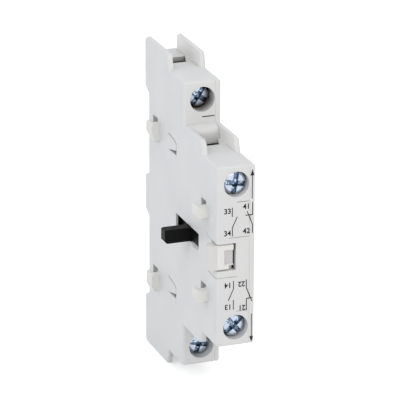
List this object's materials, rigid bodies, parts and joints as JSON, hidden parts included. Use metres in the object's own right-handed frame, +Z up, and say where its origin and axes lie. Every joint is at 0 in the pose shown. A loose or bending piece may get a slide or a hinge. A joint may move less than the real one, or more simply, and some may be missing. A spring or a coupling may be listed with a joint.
{
  "type": "auxiliary contact block",
  "caption": "Slim side-mounting auxiliary contact block: a sprung lever opens and closes contact bridges; stepped screw terminals, side hooks and a front latch.",
  "frame": {"origin": "middle of the lever at rest, on the plane of the face that lies against the contactor", "axes": "+X away from the contactor through the block's thickness, -Y towards the front with the screws, +Z up"},
  "size_m": [0.017, 0.054, 0.0844],
  "materials": {
    "housing": "moulded light grey glass-filled polyamide, fine matt",
    "latch": "moulded light grey polyamide, fine matt",
    "carrier": "moulded black polyamide, low sheen",
    "screw_zinc": "steel, zinc plated with blue passivation",
    "clamp_steel": "steel plate, zinc plated",
    "strip_brass": "stamped brass strip, tin plated",
    "bridge_copper": "stamped copper alloy strip",
    "contact_silver": "silver contact metal, satin",
    "spring_steel": "drawn spring steel wire"
  },
  "bodies": {
    "housing": {"housing_base": "housing", "housing_cover": "housing", "return_spring": "spring_steel", "latch_spring": "spring_steel", "upper_opening_strip": "strip_brass", "upper_opening_tip": "contact_silver", "upper_closing_strip": "strip_brass", "upper_closing_tip": "contact_silver", "lower_opening_strip": "strip_brass", "lower_opening_tip": "contact_silver", "lower_closing_strip": "strip_brass", "lower_closing_tip": "contact_silver", "rear_upper_clamp": "clamp_steel", "rear_lower_clamp": "clamp_steel", "front_upper_clamp": "clamp_steel", "front_lower_clamp": "clamp_steel"},
    "carrier": {"contact_carrier": "carrier", "opening_contact_spring": "spring_steel", "closing_contact_spring": "spring_steel"},
    "opening_contact": {"opening_bridge": "bridge_copper", "opening_bridge_tips": "contact_silver"},
    "closing_contact": {"closing_bridge": "bridge_copper", "closing_bridge_tips": "contact_silver"},
    "latch": {"front_latch": "latch"},
    "rear_upper_plate": {"rear_upper_plate": "clamp_steel"},
    "rear_upper_screw": {"rear_upper_screw": "screw_zinc"},
    "rear_lower_plate": {"rear_lower_plate": "clamp_steel"},
    "rear_lower_screw": {"rear_lower_screw": "screw_zinc"},
    "front_upper_plate": {"front_upper_plate": "clamp_steel"},
    "front_upper_screw": {"front_upper_screw": "screw_zinc"},
    "front_lower_plate": {"front_lower_plate": "clamp_steel"},
    "front_lower_screw": {"front_lower_screw": "screw_zinc"}
  },
  "joints": [
    {"name": "carrier_slide", "type": "slide", "parent": "housing", "child": "carrier", "axis": [0, 1, 0], "range_m": [0, 0.0045], "stiffness_N_per_m": 150, "springref_m": -0.002, "deforming": ["return_spring"]},
    {"name": "opening_contact_slide", "type": "slide", "parent": "carrier", "child": "opening_contact", "axis": [0, 1, 0], "range_m": [-0.0015, 0], "deforming": ["opening_contact_spring"]},
    {"name": "closing_contact_slide", "type": "slide", "parent": "carrier", "child": "closing_contact", "axis": [0, 1, 0], "range_m": [-0.0015, 0], "deforming": ["closing_contact_spring"]},
    {"name": "latch_slide", "type": "slide", "parent": "housing", "child": "latch", "axis": [1, 0, 0], "range_m": [0, 0.00055], "stiffness_N_per_m": 800, "springref_m": -0.0005, "deforming": ["latch_spring"]},
    {"name": "rear_upper_plate_slide", "type": "slide", "parent": "housing", "child": "rear_upper_plate", "axis": [0, 1, 0], "range_m": [-0.0024, 0.00465]},
    {"name": "rear_upper_screw_turn", "type": "hinge", "parent": "rear_upper_plate", "child": "rear_upper_screw", "pos_m": [0.0051, 0.0045, 0.0333], "axis": [0, 1, 0], "range_deg": [-1729, 3349]},
    {"name": "rear_lower_plate_slide", "type": "slide", "parent": "housing", "child": "rear_lower_plate", "axis": [0, 1, 0], "range_m": [-0.0011, 0.00595]},
    {"name": "rear_lower_screw_turn", "type": "hinge", "parent": "rear_lower_plate", "child": "rear_lower_screw", "pos_m": [0.0051, 0.0045, -0.0333], "axis": [0, 1, 0], "range_deg": [-793, 4285]},
    {"name": "front_upper_plate_slide", "type": "slide", "parent": "housing", "child": "front_upper_plate", "axis": [0, 1, 0], "range_m": [-0.0002, 0.00685]},
    {"name": "front_upper_screw_turn", "type": "hinge", "parent": "front_upper_plate", "child": "front_upper_screw", "pos_m": [0.0051, -0.02, 0.0188], "axis": [0, 1, 0], "range_deg": [-145, 4933]},
    {"name": "front_lower_plate_slide", "type": "slide", "parent": "housing", "child": "front_lower_plate", "axis": [0, 1, 0], "range_m": [-0.0006, 0.00645]},
    {"name": "front_lower_screw_turn", "type": "hinge", "parent": "front_lower_plate", "child": "front_lower_screw", "pos_m": [0.0051, -0.02, -0.0188], "axis": [0, 1, 0], "range_deg": [-433, 4645]}
  ],
  "couplings": [
    {"joint": "opening_contact_slide", "follows": "carrier_slide", "ratio": -0.33333},
    {"joint": "closing_contact_slide", "follows": "carrier_slide", "ratio": -0.33333},
    {"joint": "rear_upper_screw_turn", "follows": "rear_upper_plate_slide", "rad_per_m": 12566},
    {"joint": "rear_lower_screw_turn", "follows": "rear_lower_plate_slide", "rad_per_m": 12566},
    {"joint": "front_upper_screw_turn", "follows": "front_upper_plate_slide", "rad_per_m": 12566},
    {"joint": "front_lower_screw_turn", "follows": "front_lower_plate_slide", "rad_per_m": 12566}
  ]
}
